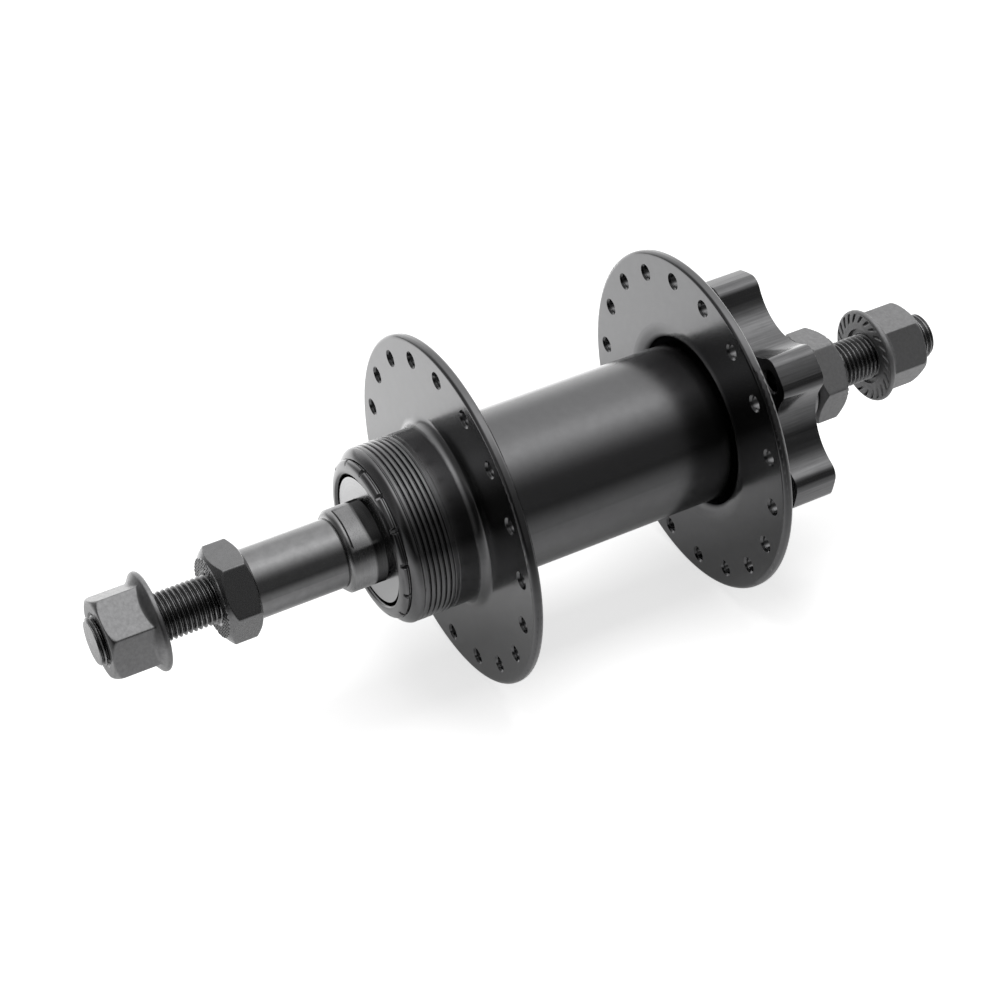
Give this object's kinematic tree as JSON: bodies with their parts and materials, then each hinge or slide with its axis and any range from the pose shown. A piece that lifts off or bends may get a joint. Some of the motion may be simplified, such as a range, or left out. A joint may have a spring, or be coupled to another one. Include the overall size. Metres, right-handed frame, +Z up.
{
  "type": "rear disc hub",
  "caption": "Rear bicycle hub with a solid threaded axle, two spoke flanges, a screw-on freewheel boss and a lobed disc brake mount.",
  "frame": {"origin": "On the axle's centre line, halfway between the outer faces of the two locknuts, which is also halfway along the axle.", "axes": "+Y along the axle towards the disc side, -Y towards the freewheel side, +Z up, +X to the right seen from the freewheel side."},
  "size_m": [0.07, 0.1816, 0.07],
  "materials": {
    "black_alloy": "satin black anodised, fine turned marks",
    "black_oxide_steel": "black oxide, slightly mottled, paler at the edges",
    "dark_steel": "ground and blackened, satin",
    "polished_steel": "polished plain steel",
    "bearing_steel": "ground bearing steel with a film of grease",
    "ball_steel": "mirror polished",
    "black_cap": "satin black"
  },
  "bodies": {
    "axle_set": {"axle": "black_oxide_steel", "drive_cone": "dark_steel", "disc_cone": "dark_steel", "drive_shield": "polished_steel", "disc_shield": "polished_steel", "drive_spacer": "dark_steel", "drive_locknut": "black_oxide_steel", "disc_locknut": "black_oxide_steel"},
    "hub_shell": {"drive_flange": "black_alloy", "barrel": "black_alloy", "disc_flange": "black_alloy", "drive_cup": "bearing_steel", "disc_cup": "bearing_steel", "drive_dust_cap": "black_cap", "disc_dust_cap": "black_cap"},
    "drive_ball_set": {"drive_balls": "ball_steel", "drive_ball_cage": "bearing_steel"},
    "disc_ball_set": {"disc_balls": "ball_steel", "disc_ball_cage": "bearing_steel"},
    "drive_nut": {"drive_axle_nut": "black_oxide_steel"},
    "disc_nut": {"disc_axle_nut": "black_oxide_steel"}
  },
  "joints": [
    {"name": "hub_spin", "type": "hinge", "parent": "axle_set", "child": "hub_shell", "pos_m": [0, 0, 0], "axis": [0, 1, 0], "continuous": true},
    {"name": "drive_balls_roll", "type": "hinge", "parent": "axle_set", "child": "drive_ball_set", "pos_m": [0, -0.0274, 0], "axis": [0, 1, 0], "continuous": true},
    {"name": "disc_balls_roll", "type": "hinge", "parent": "axle_set", "child": "disc_ball_set", "pos_m": [0, 0.0454, 0], "axis": [0, 1, 0], "continuous": true},
    {"name": "drive_nut_travel", "type": "slide", "parent": "axle_set", "child": "drive_nut", "axis": [0, -1, 0], "range_m": [-0.0112, 0.0122]},
    {"name": "disc_nut_travel", "type": "slide", "parent": "axle_set", "child": "disc_nut", "axis": [0, 1, 0], "range_m": [-0.0086, 0.0148]}
  ],
  "couplings": [
    {"joint": "drive_balls_roll", "follows": "hub_spin", "ratio": 0.6146},
    {"joint": "disc_balls_roll", "follows": "hub_spin", "ratio": 0.6146}
  ]
}
